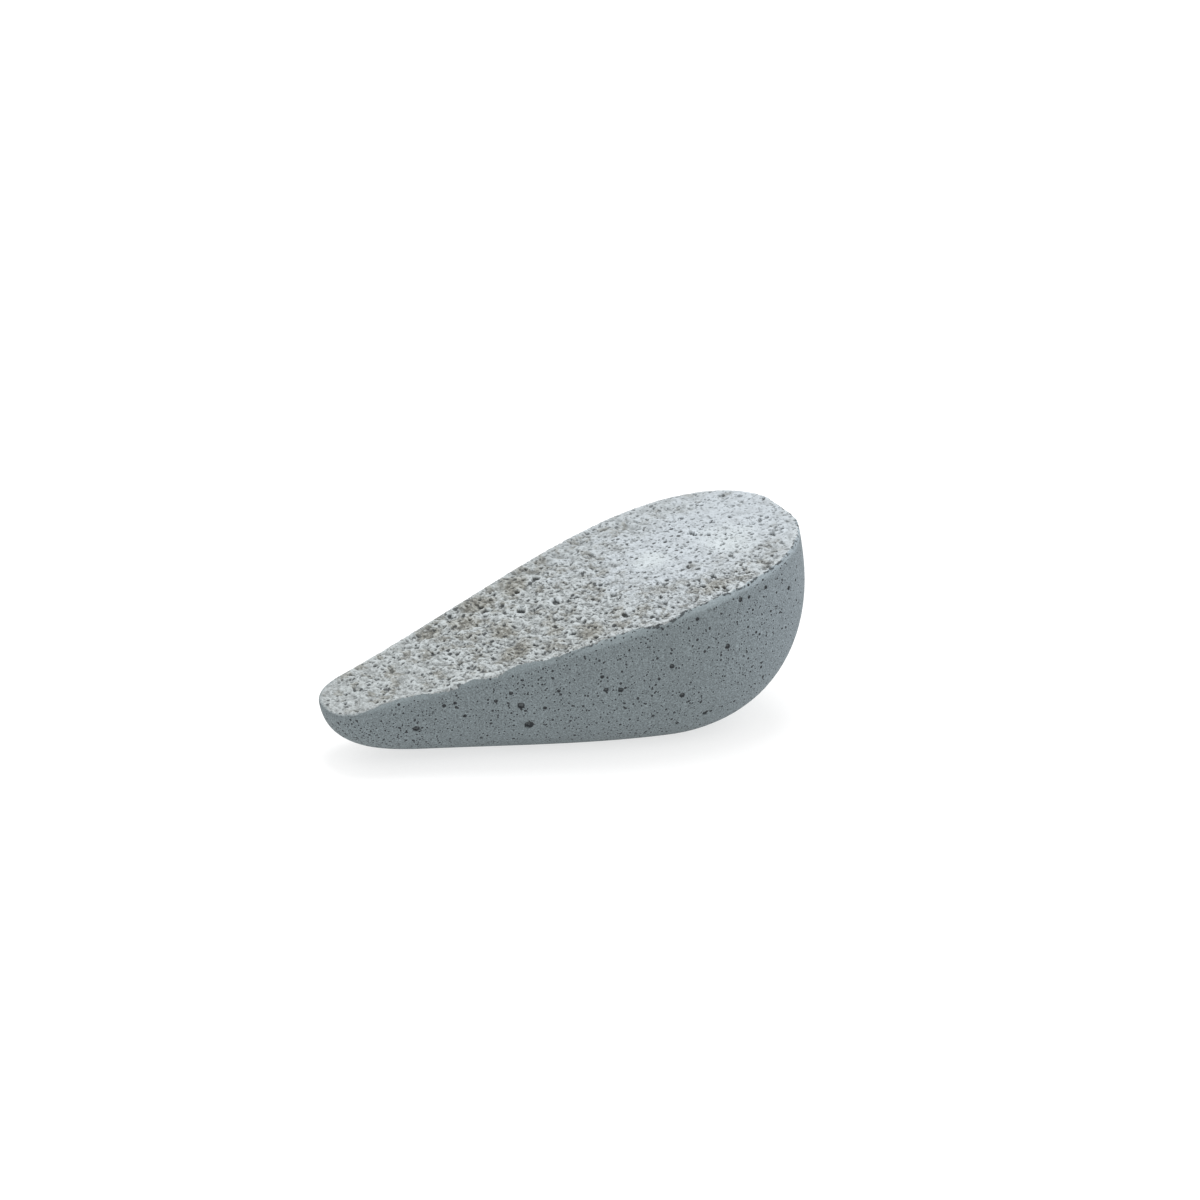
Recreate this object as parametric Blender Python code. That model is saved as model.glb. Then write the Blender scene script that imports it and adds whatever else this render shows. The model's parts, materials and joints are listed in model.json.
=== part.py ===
"""A hand-sized pumice stone, shaped like half a long pebble that is thin at one end.

It is one solid. A flat rough face, drop-shaped in plan, slopes up from a narrow tip to a
wide heel. Below it, a smooth hull drops steeply all round and turns under in a rounded
edge. The underside is bowed along its length, and a worn flat patch on it meets the
ground. The origin is the middle of the footprint's box, on the ground, and +X runs
towards the heel.
"""

import math

import bmesh
import bpy
from mathutils import Euler, Matrix, Vector

# Driving dimensions, in metres and radians. A station is a distance from the tip, along
# the rough face. A depth is a distance below that face, square to it.
FACE_LENGTH = 0.1055
FACE_WIDTH = 0.0525
FACE_SLOPE = math.radians(15.6)
WIDEST_STATION = 0.0763
NOSE_HALF_WIDTH = 0.0092
NOSE_LENGTH = 0.0080
FLARE_START = -0.0055  # the outline starts to widen from this station
CENTRE_LINE_BOW = 0.0007  # sideways, so the two flanks differ a little
CENTRE_LINE_BOW_STATION = 0.052
CENTRE_LINE_BOW_SPREAD = 0.022
TIP_DEPTH = 0.0127  # of the hull, before its tip is rounded
TIP_ROUNDING_LENGTH = 0.0185
HEEL_ROUNDING_START = 0.0657
HULL_LEAN = 0.09  # the hull's sections lean towards the tip by this slope
UNDERSIDE_LOWEST_STATION = 0.0629
UNDERSIDE_BOW_RADIUS = 0.596
WORN_PATCH_DEPTH = 0.0011
HEEL_FACET_STATION = 0.1050
HEEL_FACET_TURN = math.radians(-2.5)  # in plan
HEEL_FACET_RAKE = math.radians(14)  # from square to the rough face

# The powers of the superellipses that round each end off and shape the sections. 2 is an
# ellipse, and a higher power is squarer.
NOSE_PLAN_POWER = 2.3
HEEL_PLAN_POWER = 2.28
TIP_PROFILE_POWER = 3.1
HEEL_PROFILE_POWER = 1.86
TIP_SECTION_POWER = 2.1
HEEL_SECTION_POWER = 4.6

# The mesh, and what the cutters remove.
RINGS = 72
POINTS_PER_RING = 84
SPARE_HEIGHT = 0.004  # of the blank above the rough face
CUTTER_SIZE = 0.16
SHARP_EDGE_ANGLE = math.radians(20)

STONE_COLOUR = (0.33, 0.36, 0.37, 1.0)
STONE_ROUGHNESS = 0.95


def ease(fraction):
    """From 0 to 1, level at both ends."""
    fraction = min(max(fraction, 0.0), 1.0)
    return fraction * fraction * (3 - 2 * fraction)


def round_end(distance, length, power):
    """1 where a rounded end begins, falling to 0 at a distance of its whole length."""
    reach = min(max(distance / length, 0.0), 1.0)
    return (1 - reach**power) ** (1 / power)


def half_width(station):
    flare = ease((station - FLARE_START) / (WIDEST_STATION - FLARE_START))
    flank = NOSE_HALF_WIDTH + (FACE_WIDTH / 2 - NOSE_HALF_WIDTH) * flare
    nose = round_end(NOSE_LENGTH - station, NOSE_LENGTH, NOSE_PLAN_POWER)
    heel_length = FACE_LENGTH - WIDEST_STATION
    heel = round_end(station - WIDEST_STATION, heel_length, HEEL_PLAN_POWER)
    return flank * nose * heel


def centre_line(station):
    reach = (station - CENTRE_LINE_BOW_STATION) / CENTRE_LINE_BOW_SPREAD
    return -CENTRE_LINE_BOW * math.exp(-(reach**2))


def depth(station):
    """How far the hull's lowest line lies below the rough face."""
    bow = (station - UNDERSIDE_LOWEST_STATION) ** 2 / (2 * UNDERSIDE_BOW_RADIUS)
    wedge = TIP_DEPTH + station * math.tan(FACE_SLOPE) - bow
    tip = round_end(TIP_ROUNDING_LENGTH - station, TIP_ROUNDING_LENGTH, TIP_PROFILE_POWER)
    heel_length = FACE_LENGTH - HEEL_ROUNDING_START
    heel = round_end(station - HEEL_ROUNDING_START, heel_length, HEEL_PROFILE_POWER)
    return wedge * tip * heel


def signed_power(value, power):
    return math.copysign(abs(value) ** power, value)


def hull_point(station, turn):
    """The point at this angle round the section, with the rough face in the XY plane."""
    along = station / FACE_LENGTH
    power = TIP_SECTION_POWER + (HEEL_SECTION_POWER - TIP_SECTION_POWER) * along
    sideways = half_width(station) * signed_power(math.cos(turn), 2 / power)
    sideways += centre_line(station)
    rise = signed_power(math.sin(turn), 2 / power)
    height = rise * (depth(station) if rise < 0 else SPARE_HEIGHT)
    return Vector((station + HULL_LEAN * min(height, 0.0), sideways, height))


def new_collection(name):
    collection = bpy.data.collections.new(name)
    bpy.context.scene.collection.children.link(collection)
    return collection


def new_object(name, bm, collection):
    mesh = bpy.data.meshes.new(name)
    bm.to_mesh(mesh)
    bm.free()
    obj = bpy.data.objects.new(name, mesh)
    collection.objects.link(obj)
    return obj


def make_blank(collection):
    """The stone before it is cut: a sphere with its poles at the tip and heel, warped.

    The sphere is turned by half a segment, so that no point lies in the rough face.
    """
    bm = bmesh.new()
    half_segment = Matrix.Rotation(math.pi / POINTS_PER_RING, 4, "X")
    poles_on_x = Matrix.Rotation(math.pi / 2, 4, "Y")
    bmesh.ops.create_uvsphere(
        bm, u_segments=POINTS_PER_RING, v_segments=RINGS, radius=1.0, matrix=half_segment @ poles_on_x
    )
    slope = Matrix.Rotation(-FACE_SLOPE, 3, "Y")
    for vert in bm.verts:
        station = FACE_LENGTH * (1 + vert.co.x) / 2
        turn = math.atan2(vert.co.z, vert.co.y)
        vert.co = slope @ hull_point(station, turn)
    bmesh.ops.recalc_face_normals(bm, faces=bm.faces)
    return new_object("pumice_stone", bm, collection)


def cut(stone, name, collection, place):
    """Removes the half-space above a cube's floor, which `place` moves from the XY plane."""
    bm = bmesh.new()
    floor_on_plane = Matrix.Translation((0, 0, CUTTER_SIZE / 2))
    bmesh.ops.create_cube(bm, size=CUTTER_SIZE, matrix=place @ floor_on_plane)
    cutter = new_object(name, bm, collection)
    cutter.hide_render = True
    cutter.display_type = "WIRE"
    cutter.parent = stone
    boolean = stone.modifiers.new(name, "BOOLEAN")
    boolean.operation = "DIFFERENCE"
    boolean.object = cutter


def shape_stone(stone, cutters):
    on_face = Matrix.Rotation(-FACE_SLOPE, 4, "Y")
    cut(stone, "rough_face_cutter", cutters, on_face @ Matrix.Translation((FACE_LENGTH / 2, 0, 0)))

    lowest = min(vert.co.z for vert in stone.data.vertices)
    under_stone = Vector((FACE_LENGTH / 2, 0, lowest + WORN_PATCH_DEPTH))
    upside_down = Matrix.Rotation(math.pi, 4, "X")
    cut(stone, "worn_patch_cutter", cutters, Matrix.Translation(under_stone) @ upside_down)

    facing_heel = Euler((0, math.pi / 2 + HEEL_FACET_RAKE, HEEL_FACET_TURN)).to_matrix().to_4x4()
    at_heel = Matrix.Translation((HEEL_FACET_STATION, 0, 0))
    cut(stone, "heel_facet_cutter", cutters, on_face @ at_heel @ facing_heel)


def apply_modifiers(obj):
    graph = bpy.context.evaluated_depsgraph_get()
    blank = obj.data
    obj.data = bpy.data.meshes.new_from_object(obj.evaluated_get(graph))
    obj.data.name = obj.name
    obj.modifiers.clear()
    bpy.data.meshes.remove(blank)
    obj.data.shade_smooth()
    obj.data.set_sharp_from_angle(angle=SHARP_EDGE_ANGLE)


def stand_on_origin(obj):
    """Moves the stone, and the cutters with it, so that its box stands on the origin."""
    points = [vert.co for vert in obj.data.vertices]
    low = Vector(min(point[axis] for point in points) for axis in range(3))
    high = Vector(max(point[axis] for point in points) for axis in range(3))
    obj.location = (-(low.x + high.x) / 2, -(low.y + high.y) / 2, -low.z)


def stone_material():
    material = bpy.data.materials.new("pumice")
    material.use_nodes = True
    shader = material.node_tree.nodes["Principled BSDF"]
    shader.inputs["Base Color"].default_value = STONE_COLOUR
    shader.inputs["Roughness"].default_value = STONE_ROUGHNESS
    shader.inputs["Metallic"].default_value = 0.0
    return material


def main():
    for obj in list(bpy.data.objects):
        bpy.data.objects.remove(obj)
    stone = make_blank(new_collection("pumice_stone"))
    shape_stone(stone, new_collection("cutters"))
    apply_modifiers(stone)
    stand_on_origin(stone)
    stone.data.materials.append(stone_material())


main()
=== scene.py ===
import json
import math
from collections import namedtuple

import bmesh
import bpy
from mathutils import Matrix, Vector


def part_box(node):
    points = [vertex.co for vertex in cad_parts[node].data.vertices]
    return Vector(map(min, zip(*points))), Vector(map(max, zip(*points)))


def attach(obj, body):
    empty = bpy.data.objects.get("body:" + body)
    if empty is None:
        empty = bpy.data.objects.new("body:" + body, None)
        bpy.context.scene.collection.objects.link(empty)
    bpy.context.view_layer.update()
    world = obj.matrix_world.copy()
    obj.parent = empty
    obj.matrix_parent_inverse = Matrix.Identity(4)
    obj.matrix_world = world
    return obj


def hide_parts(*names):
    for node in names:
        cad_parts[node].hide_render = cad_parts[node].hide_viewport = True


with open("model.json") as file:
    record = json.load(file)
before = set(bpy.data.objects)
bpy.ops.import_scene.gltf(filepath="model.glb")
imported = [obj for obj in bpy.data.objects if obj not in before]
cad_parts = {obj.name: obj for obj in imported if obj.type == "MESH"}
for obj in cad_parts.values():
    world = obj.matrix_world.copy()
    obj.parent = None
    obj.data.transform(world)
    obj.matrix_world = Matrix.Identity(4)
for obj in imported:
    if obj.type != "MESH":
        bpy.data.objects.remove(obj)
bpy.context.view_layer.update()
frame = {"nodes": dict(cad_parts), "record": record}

# A weathered pumice stone. A copy of the imported solid is made into a fine, even mesh. Then
# Geometry Nodes round its rim and sink relief, hollows and pores into it, and one material
# finishes its rough pale face and its smooth grey hull, with painted shade in its hollows,
# pores and notches and towards the ground.
#
# Lengths are in metres, but those in the tables, spans, bubbles, noise and depths below are
# in mm. The rough face is the flat top of the stone. A station is a distance from the tip
# along it, an offset is a distance across it from the middle, and a depth is a distance
# below it, square to it. The near flank has offsets below 0. A span is where something
# starts and where it is complete.
MM = 0.001
TINY = 0.001 * MM

mounts = {mount["name"]: mount for mount in frame["record"]["mounts"]}
FACE_NORMAL = Vector(mounts["rough_face"]["axis"]).normalized()
FACE_POINT = Vector(mounts["rough_face"]["pos_m"])
ALONG_FACE = Vector((FACE_NORMAL.z, 0, -FACE_NORMAL.x))
ACROSS_FACE = Vector((0, 1, 0))
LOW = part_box("pumice_stone")[0]
TIP = Vector((LOW.x, 0, FACE_POINT.z + (FACE_POINT.x - LOW.x) * FACE_NORMAL.x / FACE_NORMAL.z))

# The camera.
CAMERA_AZIMUTH = math.radians(-24.5)
CAMERA_ELEVATION = math.radians(20.6)
CAMERA_DISTANCE = 735 * MM
CAMERA_TARGET = Vector((1.6, 0.0, 24.5)) * MM
FRAME_PIXELS = 1200
TARGET_PIXEL = (564.5, 609.4)
PIXELS_PER_MM = 4.943  # at the target
SENSOR = 36.0

# The studio. The floor glows like a light table, so what stands on it casts a faint shadow.
SKY_STRENGTH = 0.95
OVERHEAD_LIGHT_PLACE = (0.15, 0.25, 1.2)
OVERHEAD_LIGHT_SIZE = 0.7
OVERHEAD_LIGHT_POWER = 6
FLOOR_HALF_WIDTH = 6.0
FLOOR_COLOUR = (0.4, 0.4, 0.4, 1.0)
FLOOR_ROUGHNESS = 0.9
FLOOR_GLOW = 0.66

# The mesh, and the named inputs of the weathering.
VOXEL = 0.2 * MM
MOST_TRIANGLES = 197_000
SAME_WAY = 0.9999  # the cosine above which a face of the solid is in the rough face
UPWARD = 0.7  # the cosine above which a place of the fine mesh is on the rough face
HOLLOW_RADIUS = 0.92 * MM
PORE_RADIUS = 0.42 * MM
SEED = 0.11
SIZES = {"Relief": 0.8 * MM, "Hollow radius": HOLLOW_RADIUS, "Pore radius": PORE_RADIUS, "Seed": SEED}

# The large round pores of the near flank, as station, depth and width.
FLANK_PORES = (
    (34.8, 13.7, 1.8),
    (34.1, 8.6, 1.4),
    (14.0, 7.2, 1.4),
    (50.3, 10.4, 1.0),
    (53.0, 11.4, 1.1),
    (64.6, 17.4, 1.1),
    (63.9, 10.1, 1.0),
    (76.2, 10.9, 1.1),
    (68.8, 24.2, 1.0),
    (29.8, 6.0, 0.8),
    (32.9, 5.2, 0.8),
    (50.2, 7.3, 0.8),
    (38.3, 10.6, 0.8),
    (41.6, 7.6, 0.7),
    (23.5, 7.4, 0.7),
    (20.2, 3.8, 0.8),
    (22.3, 3.9, 0.7),
    (25.8, 14.3, 0.6),
    (58.2, 20.1, 0.7),
    (63.0, 24.3, 0.7),
    (60.8, 11.8, 0.6),
    (71.4, 2.4, 0.8),
    (81.4, 2.6, 1.0),
    (83.4, 3.0, 0.7),
    (87.8, 3.1, 0.8),
    (93.7, 7.0, 0.9),
)

# The deepest hollows of the rough face, as station, offset and width.
FACE_HOLLOWS = (
    (46.2, 4.1, 1.8),
    (54.6, 14.7, 1.6),
    (53.1, 1.6, 1.7),
    (60.7, -15.5, 1.4),
    (97.7, -10.3, 1.5),
    (45.2, 16.1, 1.0),
    (29.2, -1.3, 1.0),
    (59.1, -3.6, 0.9),
    (65.0, 6.6, 0.9),
    (49.3, 12.8, 1.1),
    (77.4, -17.9, 1.3),
    (78.9, -21.1, 1.0),
    (80.7, -16.3, 1.0),
    (104.1, 5.6, 0.8),
    (88.0, 12.4, 1.0),
    (88.5, 0.8, 1.0),
    (86.3, 4.4, 1.3),
    (95.3, 4.4, 0.9),
    (87.4, -11.1, 1.0),
)

# How far their middles lie below the surface, as a share of their radius.
PORE_SINKING = 0.15
HOLLOW_SINKING = 0.4
OUTSIDE = 100 * MM  # further from the middle than either flank

# Where the rough face stops short of the near rim, or goes over it where the gap is below
# 0, as station, gap and reach along the rim.
RIM_GAPS = (
    (11.0, 1.6, 9.0),
    (22.0, -1.1, 5.0),
    (31.0, -1.0, 4.0),
    (37.0, 0.7, 4.0),
    (55.0, 1.1, 12.0),
    (64.5, -0.9, 5.0),
    (74.0, 0.8, 10.0),
    (87.0, 0.4, 6.0),
)

# Places of the rough face, as station, offset, length and width.
WORN_SPOT = (89.0, 2.0, 45.0, 35.0)
PALE_SMEARS = ((75.0, 1.0, 6.0, 7.0), (90.5, -5.0, 8.0, 13.0))
DIRTY_SPOTS = (
    (28.4, 11.0, 5.0, 6.0),
    (36.0, 10.0, 5.0, 6.0),
    (41.0, 15.0, 7.0, 6.0),
    (40.0, -1.0, 5.0, 6.0),
    (38.5, -11.0, 6.0, 6.0),
    (50.0, 16.5, 8.0, 6.0),
    (52.5, -17.0, 6.0, 6.0),
    (79.0, -19.5, 6.0, 6.0),
)

# Parts of the stone, as spans of the station or, for a side, of the offset.
HEELWARD = (38.0, 56.0)
POLISHED_HEEL = (89.0, 99.0)
NEAR_SIDE = (10.0, -4.0)
FAR_SIDE = (12.0, 22.0)
ROUNDED_TIP = (14.0, 5.0)
SOFT_EDGED_TIP = (14.0, 4.0)
CRUMBLY_TIP = (34.0, 10.0)
SPECKLED_TIP = (34.0, 12.0)
COOL_FACE = (50.0, 72.0)
BROKEN_FACE = (55.0, 70.0)
CLEAN_HEEL = (108.0, 80.0)
PALE_HEEL = (63.0, 103.0)
LIP_START = (2.0, 18.0)
BRIGHT_LIP = (60.0, 76.0)

# Strips beside the rim, as spans of the distance inward from it, or from the jagged edge of
# the rough ground.
ROUNDED_RIM = (2.2, 0.5)
HOLLOWED_FACE = (0.2, 1.8)
POROUS_HULL = (-1.2, -2.2)
BROKEN_EDGE = (0.9, 0.4)
RELIEF_START = (-0.5, 2.5)
FRINGE = (3.5, 1.0)
OVER_RIM = (0.6, -0.4)
PALE_LIP = (-1.8, -0.7)
# Where the painted notch shadows are, below and above the jagged edge.
NOTCH_SHADE_BELOW = (-0.8, -0.5)
NOTCH_SHADE_ABOVE = (0.5, 0.2)

# Spans of the height above the ground, over which the hull gets painted shade towards the ground,
# and of the distance outward from a named pore's edge, over which its painted shade sets in.
PAINTED_FOOT_SHADE = (5.0, 1.0)
PORE_EDGE = (0.03, -0.03)
PORE_DEEP = (-0.1, -0.4)

# How often the fine mesh is blurred: its places at the rim, its normals, and all its places
# to find how deep the small and the large hollows are, which sets the shade painted into them.
RIM_BLURS = 30
NORMAL_BLURS = 2
HOLLOW_BLURS = {"small_hollow": 4, "large_hollow": 30}
RIM_ROUNDING = 0.2
TIP_ROUNDING = 0.25

# The rough ground starts over this width from its jagged edge. At the tip, it starts and is
# complete further off, by the first and the second number.
EDGE_WIDTH = 0.2
SOFT_TIP_EDGE = (-0.4, 1.1)

# How much noise moves that edge, and how much it moves the gap between the edge and the rim.
JAGGEDNESS = 2.2
GAP_WANDER = 0.8

# Bubbles, as the size of the cells that hold one each, the share of the cells that do, and
# the least and greatest radius as a share of the largest hollow's or pore's.
Bubbles = namedtuple("Bubbles", "cell share least greatest")
LARGE_HOLLOWS = Bubbles(2.7, 0.22, 0.5, 0.9)
MIDDLING_HOLLOWS = Bubbles(1.5, 0.42, 0.3, 0.62)
SMALL_HOLLOWS = Bubbles(0.8, 0.6, 0.2, 0.42)
SMALL_PORES = Bubbles(2.0, 0.35, 0.35, 0.6)
LARGE_PORES = Bubbles(4.2, 0.2, 0.55, 0.9)
WORN_HOLLOWS = Bubbles(1.4, 0.75, 0.32, 0.62)
EDGE_HOLLOWS = Bubbles(1.0, 0.7, 0.25, 0.5)
SPECKS = Bubbles(0.6, 0.8, 0.3, 0.62)
FINE_PORES = (Bubbles(0.6, 0.42, 0.36, 0.56), Bubbles(0.9, 0.38, 0.44, 0.85))

# What is sunk into the mesh is scattered by its number here times the seed, and what is only
# in the material by a seed of its own.
SUNK_BUBBLES = (
    LARGE_HOLLOWS,
    MIDDLING_HOLLOWS,
    SMALL_HOLLOWS,
    SMALL_PORES,
    LARGE_PORES,
    WORN_HOLLOWS,
    EDGE_HOLLOWS,
)
SPECK_SEED = 0.31
FINE_PORE_SEEDS = (0.47, 0.59)

# Fractal noise, as the size of its largest features, how many finer grades it adds to them,
# and how strong each of those is as a share of the one before.
Noise = namedtuple("Noise", "size detail roughness", defaults=(2, 0.5))
JAGS = Noise(1.2, 4, 0.65)
EDGE_WANDER = Noise(6.0)
SPOT_WANDER = Noise(5.0, 3)
SWELLS = Noise(5.0, 1)
LUMPS = Noise(2.4, 5, 0.62)
PATCHES = Noise(2.3, 4, 0.62)
CRUMBS = Noise(1.0, 3, 0.6)
GRAIN = Noise(0.36, 3, 0.7)
DIRT_CLUMPS = Noise(8.0)
# Noise that breaks the painted notch shadows into pieces.
NOTCH_SHADE_BREAKS = Noise(1.3, 3, 0.6)
BLOTCHES = Noise(9.0, 3)
HULL_GRAIN = Noise(0.3, 2, 0.7)
PORE_MOTTLES = Noise(0.5)

# How uneven noise makes the outlines of things, as the size of its features and its reach.
GRAIN_UNEVENNESS = (1.5, 0.7)
FINE_PORE_UNEVENNESS = (0.5, 0.2)
NAMED_PORE_UNEVENNESS = (0.6, 0.16)

# The ways things are drawn out, as axis and how much longer they are along it.
PORE_STRETCH = (tuple(ACROSS_FACE), 1.6)
GRAIN_STRETCH = (tuple((ALONG_FACE * 0.3 - ACROSS_FACE).normalized()), 1.6)

# Colours, as they are in daylight. The dark of the hollows, pores and notches is painted shade,
# with some dark dust in the hollows of the rough face.
FACE_GROUND = (0.30, 0.32, 0.32, 1.0)
FACE_CRUMB = (0.52, 0.56, 0.57, 1.0)
FACE_HOLLOW_SHADE = (0.09, 0.098, 0.101, 1.0)
FACE_DIRT = (0.75, 0.70, 0.625, 1.0)
FACE_WORN = (0.42, 0.46, 0.49, 1.0)
FACE_POWDER = (0.57, 0.62, 0.66, 1.0)
FACE_SMEAR = (0.66, 0.72, 0.73, 1.0)
HULL_GREY = (0.165, 0.194, 0.204, 1.0)
HULL_HEEL = (0.222, 0.259, 0.282, 1.0)
PORE_WALL_SHADE = (0.034, 0.039, 0.043, 1.0)
PORE_FLOOR_SHADE = (0.10, 0.112, 0.116, 1.0)

# How far a place of the rough face seems to be sunk by each thing. As it seems less sunk,
# it turns pale over the first span, and as it seems more sunk, dark over the second: painted
# shade, with some dark dust.
CREST = (0.07, -0.155)
SHADED_HOLLOW = (-0.045, 0.26)
LEAST_SMALL_HOLLOW = -0.03
GRAIN_DEPTH = 0.46
CRISPER_GRAIN_DEPTH = 0.2
CRUMB_DEPTH = 0.3
PATCH_DEPTH = 0.27
DIRT_DEPTH = 0.035
OVER_RIM_DEPTH = 0.08
FRINGE_HEIGHT = 0.015

# The fine relief that is only in the material, and the rest of the finish.
FACE_GRAIN_BUMP = 0.16
HULL_GRAIN_BUMP = 0.06
SPECK_BUMP = 0.1
PORE_BUMP = 0.1
HULL_CONTRAST = 2.3
DRY_ROUGHNESS = 0.96
WORN_SMOOTHNESS = 0.12


class Socket:
    """One output of a node. Arithmetic on it adds Math nodes to the same tree."""

    def __init__(self, tree, socket):
        self.tree = tree
        self.socket = socket

    def __add__(self, other):
        return self.tree.math("ADD", self, other)

    def __radd__(self, other):
        return self.tree.math("ADD", other, self)

    def __sub__(self, other):
        return self.tree.math("SUBTRACT", self, other)

    def __rsub__(self, other):
        return self.tree.math("SUBTRACT", other, self)

    def __mul__(self, other):
        return self.tree.math("MULTIPLY", self, other)

    def __rmul__(self, other):
        return self.tree.math("MULTIPLY", other, self)

    def __truediv__(self, other):
        return self.tree.math("DIVIDE", self, other)

    def __pow__(self, other):
        return self.tree.math("POWER", self, other)

    def __neg__(self):
        return self.tree.math("MULTIPLY", self, -1.0)

    def __lt__(self, other):
        return self.tree.math("LESS_THAN", self, other)

    def __gt__(self, other):
        return self.tree.math("GREATER_THAN", self, other)

    def __abs__(self):
        return self.tree.math("ABSOLUTE", self)


class Node:
    """A node whose outputs are read by name or number, as Sockets."""

    def __init__(self, tree, node):
        self.tree = tree
        self.node = node

    def __getitem__(self, output):
        return Socket(self.tree, self.node.outputs[output])


class Tree:
    """Adds nodes to a shader tree or a geometry tree."""

    def __init__(self, tree):
        self.tree = tree
        self.tree.nodes.clear()

    def add(self, kind, settings=None, sockets=None):
        node = self.tree.nodes.new(kind)
        for name, value in (settings or {}).items():
            setattr(node, name, value)
        for key, value in (sockets or {}).items():
            if isinstance(value, Socket):
                self.tree.links.new(value.socket, node.inputs[key])
            else:
                node.inputs[key].default_value = value
        return Node(self, node)

    def math(self, operation, *operands):
        return self.add("ShaderNodeMath", {"operation": operation}, dict(enumerate(operands)))[0]

    def vector(self, operation, *operands):
        node = self.add("ShaderNodeVectorMath", {"operation": operation}, dict(enumerate(operands)))
        return node["Value" if operation in ("DOT_PRODUCT", "LENGTH", "DISTANCE") else "Vector"]

    def scaled(self, vector, factor):
        sockets = {"Vector": vector, "Scale": factor}
        return self.add("ShaderNodeVectorMath", {"operation": "SCALE"}, sockets)["Vector"]

    def smooth(self, value, low, high):
        """Eases from 0 to 1 as the value goes from low to high."""
        sockets = {"Value": value, "From Min": low, "From Max": high}
        return self.add("ShaderNodeMapRange", {"interpolation_type": "SMOOTHSTEP"}, sockets)["Result"]

    def eased(self, length, span):
        """Eases from 0 to 1 as a length goes from the start of a span to its end."""
        start, end = span
        return self.smooth(length, start * MM, end * MM)

    def mix_colour(self, factor, first, second, blend="MIX"):
        settings = {"data_type": "RGBA", "blend_type": blend}
        return self.add("ShaderNodeMix", settings, {0: factor, 6: first, 7: second})[2]

    def noise_node(self, place, noise):
        sockets = {
            "Vector": place,
            "Scale": 1 / (noise.size * MM),
            "Detail": noise.detail,
            "Roughness": noise.roughness,
        }
        return self.add("ShaderNodeTexNoise", {"noise_dimensions": "3D"}, sockets)

    def noise(self, place, noise):
        """A number that wanders about 0.5."""
        return self.noise_node(place, noise)["Fac"]

    def uneven(self, place, size, reach):
        """Moves a place by noise, so that shapes made from it are uneven."""
        wander = self.vector("SUBTRACT", self.noise_node(place, Noise(size))["Color"], (0.5, 0.5, 0.5))
        return self.vector("ADD", place, self.scaled(wander, reach * MM))

    def bubbles(self, place, largest, seed, kind):
        """Spheres scattered in space, about one to a cell, and more small than large.

        Returns the nearest sphere's centre and its radius, which is 0 in an empty cell.
        """
        shift = self.scaled((1.0, 2.0, 3.0), seed)
        sockets = {"Vector": self.vector("ADD", place, shift), "Scale": 1 / (kind.cell * MM)}
        settings = {"voronoi_dimensions": "3D", "feature": "F1"}
        cells = self.add("ShaderNodeTexVoronoi", settings, sockets)
        draws = self.add("ShaderNodeSeparateXYZ", None, {0: cells["Color"]})
        radius = kind.least + (kind.greatest - kind.least) * (draws["Y"] * draws["Y"])
        radius = radius * (draws["X"] < kind.share)
        return self.vector("SUBTRACT", cells["Position"], shift), radius * largest


def maximum(first, *others):
    for other in others:
        first = first.tree.math("MAXIMUM", first, other)
    return first


def minimum(first, *others):
    for other in others:
        first = first.tree.math("MINIMUM", first, other)
    return first


def drawn_out(tree, vector, axis, longer):
    """Squeezes a vector along an axis, so that what's made from it is drawn out that way."""
    less = tree.vector("DOT_PRODUCT", vector, axis) * (1 / longer - 1)
    return tree.vector("ADD", vector, tree.scaled(axis, less))


class Places:
    """Where a place of the stone is, in terms of its rough face.

    `inward` is how far it lies from the rim: above 0 on the rough face, below 0 on the hull.
    `edge` is the same from the jagged line where the rough ground starts. What's made from
    `drawn` in place of `place` is uneven and is drawn out across the stone. `near_side`,
    `heelward`, `worn`, `polished` and `rough` are 1 in those parts and 0 elsewhere.
    """

    def __init__(self, tree, place, inward):
        from_tip = tree.vector("SUBTRACT", place, tuple(TIP))
        self.tree = tree
        self.place = place
        self.inward = inward
        self.station = tree.vector("DOT_PRODUCT", from_tip, tuple(ALONG_FACE))
        self.offset = tree.vector("DOT_PRODUCT", from_tip, tuple(ACROSS_FACE))
        self.spot_wander = tree.noise(place, SPOT_WANDER) - 0.5
        self.near_side = tree.eased(self.offset, NEAR_SIDE)
        self.heelward = tree.eased(self.station, HEELWARD)
        self.worn = self.spot(*WORN_SPOT, ragged=2.2, edge=0.5)
        far_side = tree.eased(self.offset, FAR_SIDE) * self.heelward
        self.polished = maximum(tree.eased(self.station, POLISHED_HEEL), far_side)
        jagged = (tree.noise(place, JAGS) - 0.5) * JAGGEDNESS * MM
        self.edge = inward + jagged - self.gap() * self.near_side
        self.rough = self.rough_ground()
        drawn = drawn_out(tree, place, *GRAIN_STRETCH)
        self.drawn = tree.uneven(drawn, *GRAIN_UNEVENNESS)

    def spot(self, station, offset, length, width, ragged, edge):
        """1 inside an ellipse of the rough face, easing to 0 across its edge."""
        along = (self.station - station * MM) / (length / 2 * MM)
        across = (self.offset - offset * MM) / (width / 2 * MM)
        reach = (along * along + across * across) ** 0.5 + self.spot_wander * ragged
        return self.tree.smooth(reach, 1 + edge, 1 - edge)

    def gap(self):
        """How far the rough ground stops short of the near rim."""
        total = (self.tree.noise(self.place, EDGE_WANDER) - 0.5) * GAP_WANDER * MM
        for station, gap, reach in RIM_GAPS:
            total = total + gap * MM * self.tree.eased(abs(self.station - station * MM), (reach, 0.0))
        return total

    def rough_ground(self):
        """1 on the rough ground and 0 on the hull, with a softer edge at the tip."""
        soft = self.tree.eased(self.station, SOFT_EDGED_TIP)
        start, further = SOFT_TIP_EDGE
        return self.tree.smooth(self.edge, start * MM * soft, EDGE_WIDTH * MM + further * MM * soft)


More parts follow.
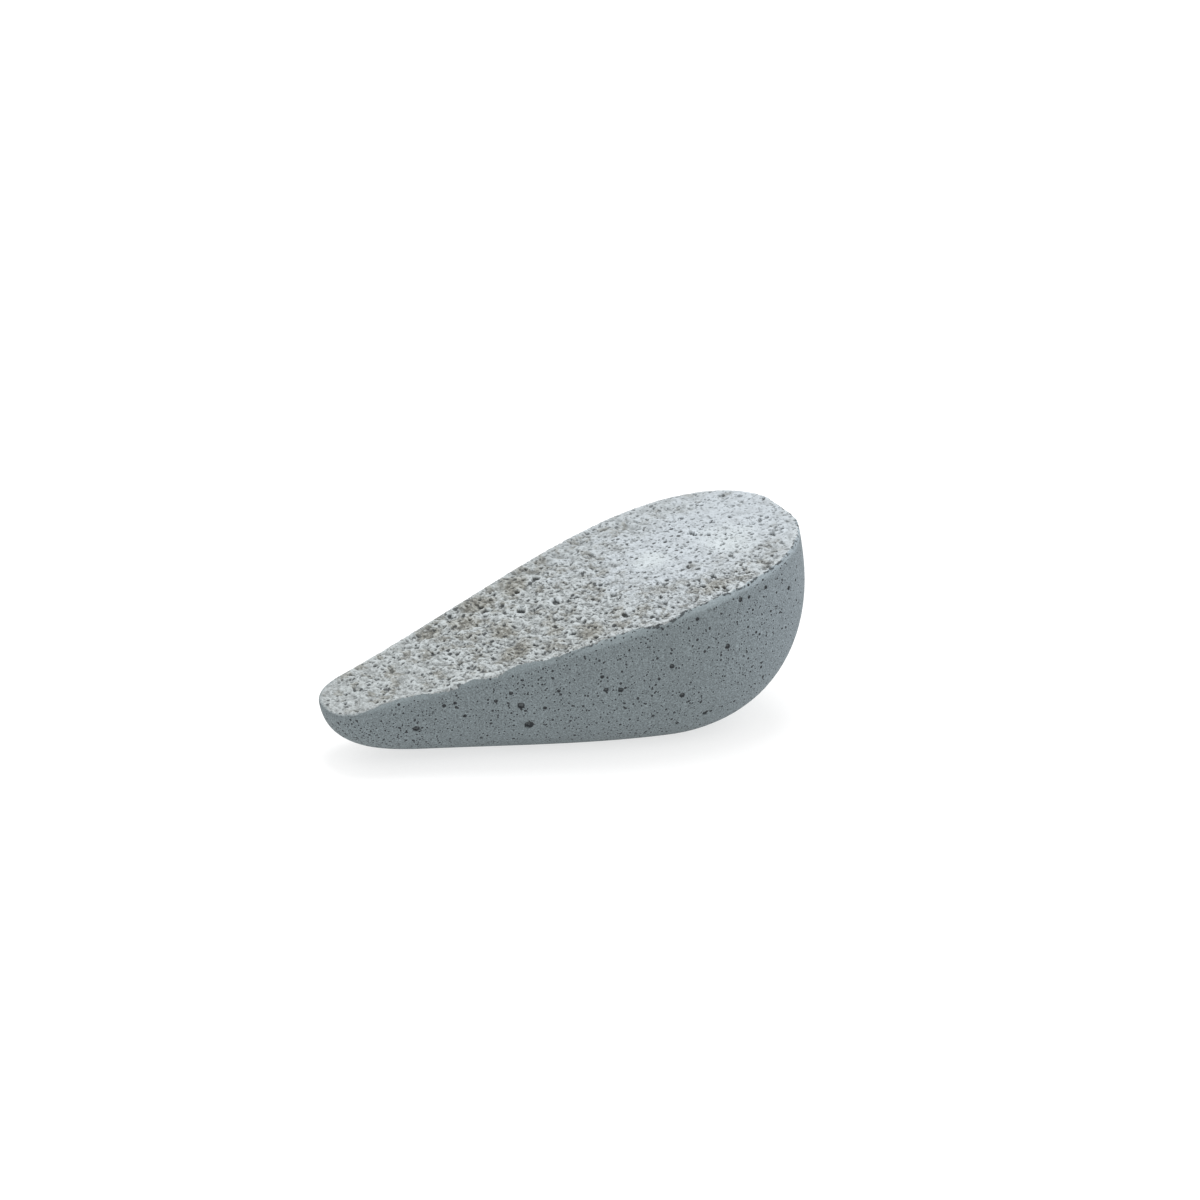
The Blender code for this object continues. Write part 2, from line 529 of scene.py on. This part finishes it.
def pit_depth(tree, place, normal, centre, radius):
    """How far the surface sinks, against its normal, to reach the far wall of a sphere."""
    from_centre = tree.vector("SUBTRACT", place, centre)
    above = tree.vector("DOT_PRODUCT", from_centre, normal)
    length = tree.vector("LENGTH", from_centre)
    inside = radius * radius - length * length
    reach = maximum(above * above + inside, 0.0) ** 0.5
    return (above + reach) * (inside > 0.0)


def flank_pores():
    """The centre and radius of each named pore of the near flank."""
    stone = frame["nodes"]["pumice_stone"]
    pores = []
    for station, depth, width in FLANK_PORES:
        level = TIP + ALONG_FACE * station * MM - FACE_NORMAL * depth * MM
        place, normal = stone.ray_cast(level - ACROSS_FACE * OUTSIDE, ACROSS_FACE)[1:3]
        radius = width / 2 * MM
        pores.append((place - normal * radius * PORE_SINKING, radius))
    return pores


def face_hollows():
    """The centre and radius of each named hollow of the rough face."""
    hollows = []
    for station, offset, width in FACE_HOLLOWS:
        place = TIP + ALONG_FACE * station * MM + ACROSS_FACE * offset * MM
        radius = width / 2 * MM
        hollows.append((place - FACE_NORMAL * radius * HOLLOW_SINKING, radius))
    return hollows


def linked_object(name, data):
    obj = bpy.data.objects.new(name, data)
    bpy.context.scene.collection.objects.link(obj)
    return obj


def mesh_from(name, bm):
    mesh = bpy.data.meshes.new(name)
    bm.to_mesh(mesh)
    bm.free()
    return mesh


def merged_stone():
    """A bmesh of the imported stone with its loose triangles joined."""
    bm = bmesh.new()
    bm.from_mesh(frame["nodes"]["pumice_stone"].data)
    bmesh.ops.remove_doubles(bm, verts=bm.verts, dist=TINY)
    bm.normal_update()
    return bm


def pore_points(pores):
    """Pores as loose vertices, each with the radius of its sphere."""
    mesh = bpy.data.meshes.new("pore_points")
    mesh.from_pydata([tuple(centre) for centre, radius in pores], [], [])
    radii = [radius for centre, radius in pores]
    mesh.attributes.new("pore_radius", "FLOAT", "POINT").data.foreach_set("value", radii)
    return linked_object("pore_points", mesh)


def rim_line():
    """The edges where the rough face meets the hull, as loose edges."""
    bm = merged_stone()
    hull = [face for face in bm.faces if face.normal.dot(FACE_NORMAL) <= SAME_WAY]
    bmesh.ops.delete(bm, geom=hull, context="FACES")
    inside = [edge for edge in bm.edges if not edge.is_boundary]
    bmesh.ops.delete(bm, geom=inside, context="EDGES_FACES")
    return linked_object("rim_line", mesh_from("rim_line", bm))


def store(tree, geometry, name, value, kind="FLOAT"):
    sockets = {"Geometry": geometry, "Name": name, "Value": value}
    settings = {"data_type": kind, "domain": "POINT"}
    return tree.add("GeometryNodeStoreNamedAttribute", settings, sockets)["Geometry"]


def stored(tree, name, kind="FLOAT"):
    return tree.add("GeometryNodeInputNamedAttribute", {"data_type": kind}, {"Name": name})["Attribute"]


def blurred(tree, vector, steps, weight=1.0):
    sockets = {"Value": vector, "Iterations": steps, "Weight": weight}
    return tree.add("GeometryNodeBlurAttribute", {"data_type": "FLOAT_VECTOR"}, sockets)["Value"]


def distance_from_rim(tree, line, place, normal):
    """How far a place of the mesh is from the rim, below 0 on the hull."""
    edges = tree.add("GeometryNodeObjectInfo", None, {"Object": line})["Geometry"]
    sockets = {"Geometry": edges, "Sample Position": place}
    distance = tree.add("GeometryNodeProximity", {"target_element": "EDGES"}, sockets)["Distance"]
    upward = tree.vector("DOT_PRODUCT", normal, tuple(FACE_NORMAL)) > UPWARD
    return distance * (2 * upward - 1)


def nearest_pore(tree, points, place):
    """The centre and radius of the named pore or hollow that a place is nearest to."""
    pores = tree.add("GeometryNodeObjectInfo", None, {"Object": points})["Geometry"]
    sockets = {"Geometry": pores, "Sample Position": place}
    nearest = tree.add("GeometryNodeSampleNearest", {"domain": "POINT"}, sockets)["Index"]
    found = []
    for kind, value in (("FLOAT_VECTOR", place), ("FLOAT", stored(tree, "pore_radius"))):
        sockets = {"Geometry": pores, "Value": value, "Index": nearest}
        settings = {"data_type": kind, "domain": "POINT"}
        found.append(tree.add("GeometryNodeSampleIndex", settings, sockets)["Value"])
    return found


def named_pits(tree, where, normal, points):
    """How far the surface sinks at the named pores and hollows."""
    centre, radius = nearest_pore(tree, points, where.place)
    middle = drawn_out(tree, centre, *PORE_STRETCH)
    spot = drawn_out(tree, where.place, *PORE_STRETCH)
    outward = tree.vector("NORMALIZE", drawn_out(tree, normal, *PORE_STRETCH))
    return pit_depth(tree, spot, outward, middle, radius) * (0.7 + 0.3 * where.rough)


def scattered_pits(tree, where, normal, inputs):
    """How far the surface sinks at broken bubbles: many on the rough face, few on the hull."""
    smooth_parts = maximum(where.worn, 0.7 * where.polished)
    at_rim = 0.1 + 0.4 * where.near_side
    face = where.rough * (at_rim + (1 - at_rim) * tree.eased(where.inward, HOLLOWED_FACE))
    hull = tree.eased(where.inward, POROUS_HULL)
    edge = tree.eased(abs(where.edge), BROKEN_EDGE) * (0.3 + 0.7 * where.heelward)
    hollow = inputs["Hollow radius"]
    pore = inputs["Pore radius"]
    rows = (
        (LARGE_HOLLOWS, where.drawn, hollow, face * 0.7 * (1 - 0.9 * smooth_parts)),
        (MIDDLING_HOLLOWS, where.drawn, hollow, face * (1 - 0.7 * smooth_parts)),
        (SMALL_HOLLOWS, where.drawn, hollow, face * (1 - 0.4 * where.worn)),
        (SMALL_PORES, where.place, pore, hull),
        (LARGE_PORES, where.place, pore, hull),
        (WORN_HOLLOWS, where.place, hollow, face),
        (EDGE_HOLLOWS, where.place, hollow, edge),
    )
    depths = []
    for kind, place, largest, amount in rows:
        seed = inputs["Seed"] * (SUNK_BUBBLES.index(kind) + 1)
        centre, radius = tree.bubbles(place, largest, seed, kind)
        depths.append(pit_depth(tree, place, normal, centre, radius) * amount)
    return maximum(*depths)


def face_relief(tree, where, height):
    """How far the rough face lies below its plane, in swells and lumps."""
    swells = tree.smooth(tree.noise(where.drawn, SWELLS), 0.3, 0.7)
    lumps = tree.smooth(tree.noise(where.drawn, LUMPS), 0.36, 0.66)
    rough = where.rough * (1 - 0.7 * where.worn) * (0.3 * swells + 0.7 * lumps)
    inside = 0.08 + 0.92 * tree.eased(where.inward, RELIEF_START)
    return height * rough * inside


def weathering_tree():
    """Geometry Nodes that round the rim, then sink relief, hollows and pores into the stone."""
    group = bpy.data.node_groups.new("weathering", "GeometryNodeTree")
    tree = Tree(group)
    group.interface.new_socket("Geometry", in_out="INPUT", socket_type="NodeSocketGeometry")
    for name in SIZES:
        group.interface.new_socket(name, in_out="INPUT", socket_type="NodeSocketFloat")
    for name in ("Pore points", "Rim line"):
        group.interface.new_socket(name, in_out="INPUT", socket_type="NodeSocketObject")
    group.interface.new_socket("Material", in_out="INPUT", socket_type="NodeSocketMaterial")
    group.interface.new_socket("Geometry", in_out="OUTPUT", socket_type="NodeSocketGeometry")
    inputs = tree.add("NodeGroupInput")

    place = tree.add("GeometryNodeInputPosition")["Position"]
    normal = tree.add("GeometryNodeInputNormal")["Normal"]
    inward = distance_from_rim(tree, inputs["Rim line"], place, normal)
    geometry = store(tree, inputs["Geometry"], "inward", inward)
    where = Places(tree, place, stored(tree, "inward"))

    rounding = RIM_ROUNDING + TIP_ROUNDING * tree.eased(where.station, ROUNDED_TIP)
    rounding = tree.eased(abs(where.inward), ROUNDED_RIM) * rounding
    sockets = {"Geometry": geometry, "Position": blurred(tree, place, RIM_BLURS, rounding)}
    geometry = tree.add("GeometryNodeSetPosition", None, sockets)["Geometry"]

    normal = tree.vector("NORMALIZE", blurred(tree, normal, NORMAL_BLURS))
    geometry = store(tree, geometry, "rest_place", place, "FLOAT_VECTOR")
    geometry = store(tree, geometry, "rest_normal", normal, "FLOAT_VECTOR")

    deepest = maximum(
        named_pits(tree, where, normal, inputs["Pore points"]),
        scattered_pits(tree, where, normal, inputs),
    )
    pitted = tree.scaled(normal, -deepest)
    worn_down = tree.scaled(tuple(FACE_NORMAL), -face_relief(tree, where, inputs["Relief"]))
    sockets = {"Geometry": geometry, "Offset": tree.vector("ADD", pitted, worn_down)}
    geometry = tree.add("GeometryNodeSetPosition", None, sockets)["Geometry"]

    for name, steps in HOLLOW_BLURS.items():
        around = tree.vector("SUBTRACT", blurred(tree, place, steps), place)
        rest_normal = stored(tree, "rest_normal", "FLOAT_VECTOR")
        geometry = store(tree, geometry, name, tree.vector("DOT_PRODUCT", around, rest_normal))

    geometry = tree.add("GeometryNodeRealizeInstances", None, {"Geometry": geometry})["Geometry"]
    sockets = {"Geometry": geometry, "Material": inputs["Material"]}
    geometry = tree.add("GeometryNodeSetMaterial", None, sockets)["Geometry"]
    tree.add("NodeGroupOutput", None, {"Geometry": geometry})
    return group


def bake_modifiers(obj):
    graph = bpy.context.evaluated_depsgraph_get()
    mesh = bpy.data.meshes.new_from_object(obj.evaluated_get(graph))
    obj.modifiers.clear()
    old = obj.data
    obj.data = mesh
    bpy.data.meshes.remove(old)


def count_triangles(obj):
    return sum(len(face.vertices) - 2 for face in obj.data.polygons)


def make_stone():
    stone = linked_object("pumice_stone_weathered", mesh_from("pumice_stone_weathered", merged_stone()))
    remesh = stone.modifiers.new("even_mesh", "REMESH")
    remesh.mode = "VOXEL"
    remesh.voxel_size = VOXEL

    pores = flank_pores()
    helpers = {"Pore points": pore_points(pores + face_hollows()), "Rim line": rim_line()}
    values = {**SIZES, **helpers, "Material": pumice_material(pores)}
    weathering = stone.modifiers.new("weathering", "NODES")
    weathering.node_group = weathering_tree()
    for item in weathering.node_group.interface.items_tree:
        if item.name in values:
            weathering[item.identifier] = values[item.name]
    bake_modifiers(stone)
    for helper in helpers.values():
        bpy.data.objects.remove(helper)

    thin = stone.modifiers.new("thin", "DECIMATE")
    thin.ratio = min(1.0, MOST_TRIANGLES / count_triangles(stone))
    bake_modifiers(stone)
    stone.data.shade_smooth()
    return stone


def attribute(tree, name, output="Fac"):
    return tree.add("ShaderNodeAttribute", {"attribute_name": name})[output]


def bubble_reach(tree, place, largest, seed, kind):
    """How far a place is from the middle of the nearest bubble, which ends at 1."""
    centre, radius = tree.bubbles(place, largest, seed, kind)
    return tree.vector("DISTANCE", place, centre) / (radius + TINY)


def sunk_reach(tree, place, largest, kind):
    """The same for bubbles that are sunk into the mesh."""
    return bubble_reach(tree, place, largest, SEED * (SUNK_BUBBLES.index(kind) + 1), kind)


def dirt_on_face(tree, where, patches, fringe):
    """How brown the rough face is: in clumps all over it, and in the named spots."""
    clumps = patches + 0.4 * (tree.noise(where.place, DIRT_CLUMPS) - 0.5)
    dirt = tree.smooth(clumps, 0.5, 0.4) * (1 - 0.9 * where.worn) * (1 - 0.7 * fringe) * 0.7
    for spot in DIRTY_SPOTS:
        dirt = maximum(dirt, where.spot(*spot, ragged=2.5, edge=0.5))
    return dirt


def dark_holes(tree, where, specks, tip):
    """How much painted shade the smallest holes of the rough face get: few on its worn spot."""
    pits = tree.smooth(sunk_reach(tree, where.drawn, HOLLOW_RADIUS, SMALL_HOLLOWS), 1.0, 0.7)
    few = tree.smooth(sunk_reach(tree, where.place, HOLLOW_RADIUS, WORN_HOLLOWS), 1.0, 0.85)
    many = maximum(specks * 0.5, pits * 0.4) * (1 - 0.5 * tip)
    return maximum(many, few * 0.85 * (1 - 0.5 * where.polished))


def face_finish(tree, where):
    """The rough face: pale crumbs, painted shade in its hollows and holes, brown dirt, and a worn pale
    spot.
    """
    tip = tree.eased(where.station, CRUMBLY_TIP)
    fringe = tree.eased(where.edge, FRINGE) * where.near_side
    over_rim = tree.eased(where.inward, OVER_RIM)
    grain = tree.noise(where.drawn, GRAIN)
    crumbs = tree.noise(where.drawn, CRUMBS)
    patches = tree.noise(where.drawn, PATCHES)
    dirt = dirt_on_face(tree, where, patches, fringe)

    # How far a place seems to lie below the crumbs round it, which sets how much painted shade it gets.
    broken = where.near_side * tree.eased(where.station, BROKEN_FACE)
    grain_depth = GRAIN_DEPTH + CRISPER_GRAIN_DEPTH * maximum(1.3 * tip, broken, 1.3 * fringe)
    grain_depth = grain_depth * (1 - 0.5 * where.polished)
    sunk = 0.55 * maximum(attribute(tree, "small_hollow"), LEAST_SMALL_HOLLOW * MM)
    sunk = sunk + 0.5 * attribute(tree, "large_hollow")
    for noise, depth in ((grain, grain_depth), (crumbs, CRUMB_DEPTH), (patches, PATCH_DEPTH)):
        sunk = sunk + (0.5 - noise) * depth * MM
    sunk = sunk + (DIRT_DEPTH * dirt + OVER_RIM_DEPTH * over_rim) * MM
    sunk = sunk * (1 - maximum(0.3 * where.worn, 0.5 * tip, 0.42 * where.polished))

    cool = maximum(where.worn, 0.45 * tree.eased(where.station, COOL_FACE))
    crest = tree.eased(sunk - FRINGE_HEIGHT * MM * fringe, CREST)
    # Painted shade where a place seems sunk, with some dark dust.
    hollow = tree.eased(sunk, SHADED_HOLLOW)
    colour = tree.mix_colour(cool, FACE_GROUND, FACE_WORN)
    colour = tree.mix_colour(crest, colour, tree.mix_colour(cool, FACE_CRUMB, FACE_POWDER))
    colour = tree.mix_colour(hollow, colour, FACE_HOLLOW_SHADE)
    colour = tree.mix_colour(dirt * (1 - 0.5 * crest), colour, FACE_DIRT, "MULTIPLY")
    colour = tree.mix_colour(where.worn * (1 - hollow) * 0.2, colour, FACE_POWDER)
    for smear in PALE_SMEARS:
        powder = where.spot(*smear, ragged=1.8, edge=0.7) * 0.45 * (1 - hollow)
        colour = tree.mix_colour(powder, colour, FACE_SMEAR)

    specks = tree.smooth(bubble_reach(tree, where.drawn, PORE_RADIUS, SPECK_SEED, SPECKS), 1.0, 0.7)
    # Painted shade in the smallest holes and specks.
    colour = tree.mix_colour(dark_holes(tree, where, specks, tip), colour, FACE_HOLLOW_SHADE)
    colour = tree.scaled(colour, 1 + 0.1 * tip + 0.02 * where.polished)
    height = (grain - 0.5) * FACE_GRAIN_BUMP * MM - specks * SPECK_BUMP * MM
    return colour, height


def hull_finish(tree, where):
    """The ground hull: fine pores painted with shade in smooth grey, a paler lip under the rim, and
    painted shade towards the ground.
    """
    place = where.place
    lip = tree.eased(where.inward, PALE_LIP)
    heel = tree.eased(where.station, PALE_HEEL)
    grain = tree.noise(place, HULL_GRAIN)
    blotches = tree.noise(place, BLOTCHES)

    crowding = tree.smooth(blotches, 0.3, 0.55) * tree.eased(where.station, CLEAN_HEEL)
    crowding = (0.35 + 0.65 * crowding) * (1 - 0.6 * lip)
    crowding = crowding * (1 + 0.6 * tree.eased(where.station, SPECKLED_TIP))
    ragged = tree.uneven(place, *FINE_PORE_UNEVENNESS)
    reach = minimum(
        sunk_reach(tree, place, PORE_RADIUS, SMALL_PORES),
        sunk_reach(tree, place, PORE_RADIUS, LARGE_PORES),
    )
    for seed, kind in zip(FINE_PORE_SEEDS, FINE_PORES):
        crowded = kind._replace(share=crowding * kind.share)
        reach = minimum(reach, bubble_reach(tree, ragged, PORE_RADIUS, seed, crowded))
    pores = tree.smooth(reach, 1.0, 0.82)

    lip_strength = 0.26 * tree.eased(where.station, LIP_START) + 0.14 * where.heelward
    lip_strength = lip_strength + 0.18 * tree.eased(where.station, BRIGHT_LIP)
    above_ground = tree.vector("DOT_PRODUCT", place, (0.0, 0.0, 1.0))
    paler = 1 + lip * lip_strength + 0.12 * (blotches - 0.5)
    paler = paler + 0.16 * tree.smooth(reach, 2.0, 1.2)
    # Painted shade towards the ground, against the light that the glowing floor throws up.
    paler = paler - 0.14 * tree.eased(above_ground, PAINTED_FOOT_SHADE) * (1 - heel)
    colour = tree.mix_colour(heel, HULL_GREY, HULL_HEEL)
    colour = tree.scaled(colour, paler + HULL_CONTRAST * (grain - 0.5) * (1 - 0.3 * lip))
    # Painted shade in the fine pores.
    colour = tree.mix_colour(pores, colour, PORE_WALL_SHADE)
    height = (grain - 0.5) * HULL_GRAIN_BUMP * MM - pores * PORE_BUMP * MM
    return colour, height


def darken_pores(tree, where, pores, colour):
    """Paints shade into the named pores of the hull: darkest at their walls, mottled on their floors.
    """
    axis, longer = PORE_STRETCH
    spot = drawn_out(tree, tree.uneven(where.place, *NAMED_PORE_UNEVENNESS), axis, longer)
    distances = []
    for centre, radius in pores:
        middle = centre + Vector(axis) * centre.dot(axis) * (1 / longer - 1)
        distances.append(tree.vector("DISTANCE", spot, tuple(middle)) - radius)
    clear = minimum(*distances)
    pore = tree.eased(clear, PORE_EDGE) * (1 - where.rough)
    mottled = tree.smooth(tree.noise(where.place, PORE_MOTTLES), 0.42, 0.56)
    floor = tree.eased(clear, PORE_DEEP) * mottled
    return tree.mix_colour(pore, colour, tree.mix_colour(floor, PORE_WALL_SHADE, PORE_FLOOR_SHADE))


def paint_notch_shade(tree, where, colour):
    """Paints notch shadows along the jagged edge of the rough ground."""
    broken = tree.smooth(tree.noise(where.place, NOTCH_SHADE_BREAKS), 0.49, 0.53)
    line = tree.eased(where.edge, NOTCH_SHADE_BELOW) * tree.eased(where.edge, NOTCH_SHADE_ABOVE)
    notch_shade = line * broken * (0.15 + 0.85 * where.heelward) * (0.2 + 0.8 * where.near_side)
    return tree.mix_colour(notch_shade * 0.85, colour, PORE_WALL_SHADE)


def pumice_material(pores):
    material = bpy.data.materials.new("pumice")
    material.use_nodes = True
    tree = Tree(material.node_tree)
    where = Places(tree, attribute(tree, "rest_place", "Vector"), attribute(tree, "inward"))
    face_colour, face_height = face_finish(tree, where)
    hull_colour, hull_height = hull_finish(tree, where)
    colour = tree.mix_colour(where.rough, hull_colour, face_colour)
    colour = darken_pores(tree, where, pores, colour)
    colour = paint_notch_shade(tree, where, colour)
    height = hull_height * (1 - where.rough) + face_height * where.rough
    bump = tree.add("ShaderNodeBump", None, {"Strength": 1.0, "Distance": 1.0, "Height": height})
    roughness = DRY_ROUGHNESS - WORN_SMOOTHNESS * (where.rough * where.worn)
    sockets = {"Base Color": colour, "Roughness": roughness, "Normal": bump["Normal"]}
    shader = tree.add("ShaderNodeBsdfPrincipled", None, sockets)
    tree.add("ShaderNodeOutputMaterial", None, {"Surface": shader["BSDF"]})
    return material


def floor_material():
    material = bpy.data.materials.new("floor")
    material.use_nodes = True
    shader = material.node_tree.nodes["Principled BSDF"]
    shader.inputs["Base Color"].default_value = FLOOR_COLOUR
    shader.inputs["Roughness"].default_value = FLOOR_ROUGHNESS
    shader.inputs["Emission Color"].default_value = (1.0, 1.0, 1.0, 1.0)
    shader.inputs["Emission Strength"].default_value = FLOOR_GLOW
    return material


def make_floor():
    bm = bmesh.new()
    bmesh.ops.create_grid(bm, x_segments=1, y_segments=1, size=FLOOR_HALF_WIDTH)
    floor = linked_object("floor", mesh_from("floor", bm))
    floor.data.materials.append(floor_material())


def light_scene():
    world = bpy.data.worlds.new("studio")
    bpy.context.scene.world = world
    world.use_nodes = True
    background = world.node_tree.nodes["Background"]
    background.inputs["Color"].default_value = (1.0, 1.0, 1.0, 1.0)
    background.inputs["Strength"].default_value = SKY_STRENGTH
    data = bpy.data.lights.new("overhead", "AREA")
    data.shape = "DISK"
    data.size = OVERHEAD_LIGHT_SIZE
    data.energy = OVERHEAD_LIGHT_POWER
    light = linked_object("overhead", data)
    light.location = OVERHEAD_LIGHT_PLACE
    light.rotation_euler = (-light.location).to_track_quat("-Z", "Y").to_euler()
    bpy.context.scene.view_settings.view_transform = "Standard"


def aim_camera():
    data = bpy.data.cameras.new("camera")
    camera = linked_object("camera", data)
    level = math.cos(CAMERA_ELEVATION)
    height = math.sin(CAMERA_ELEVATION)
    back = Vector((math.sin(CAMERA_AZIMUTH) * level, -math.cos(CAMERA_AZIMUTH) * level, height))
    camera.location = CAMERA_TARGET + back * CAMERA_DISTANCE
    camera.rotation_euler = (math.pi / 2 - CAMERA_ELEVATION, 0, CAMERA_AZIMUTH)
    data.sensor_width = SENSOR
    data.lens = SENSOR * PIXELS_PER_MM * (CAMERA_DISTANCE / MM) / FRAME_PIXELS
    data.shift_x = (FRAME_PIXELS / 2 - TARGET_PIXEL[0]) / FRAME_PIXELS
    data.shift_y = (TARGET_PIXEL[1] - FRAME_PIXELS / 2) / FRAME_PIXELS
    bpy.context.scene.camera = camera


def main():
    aim_camera()
    light_scene()
    make_floor()
    stone = make_stone()
    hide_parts("pumice_stone")
    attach(stone, "root")


main()
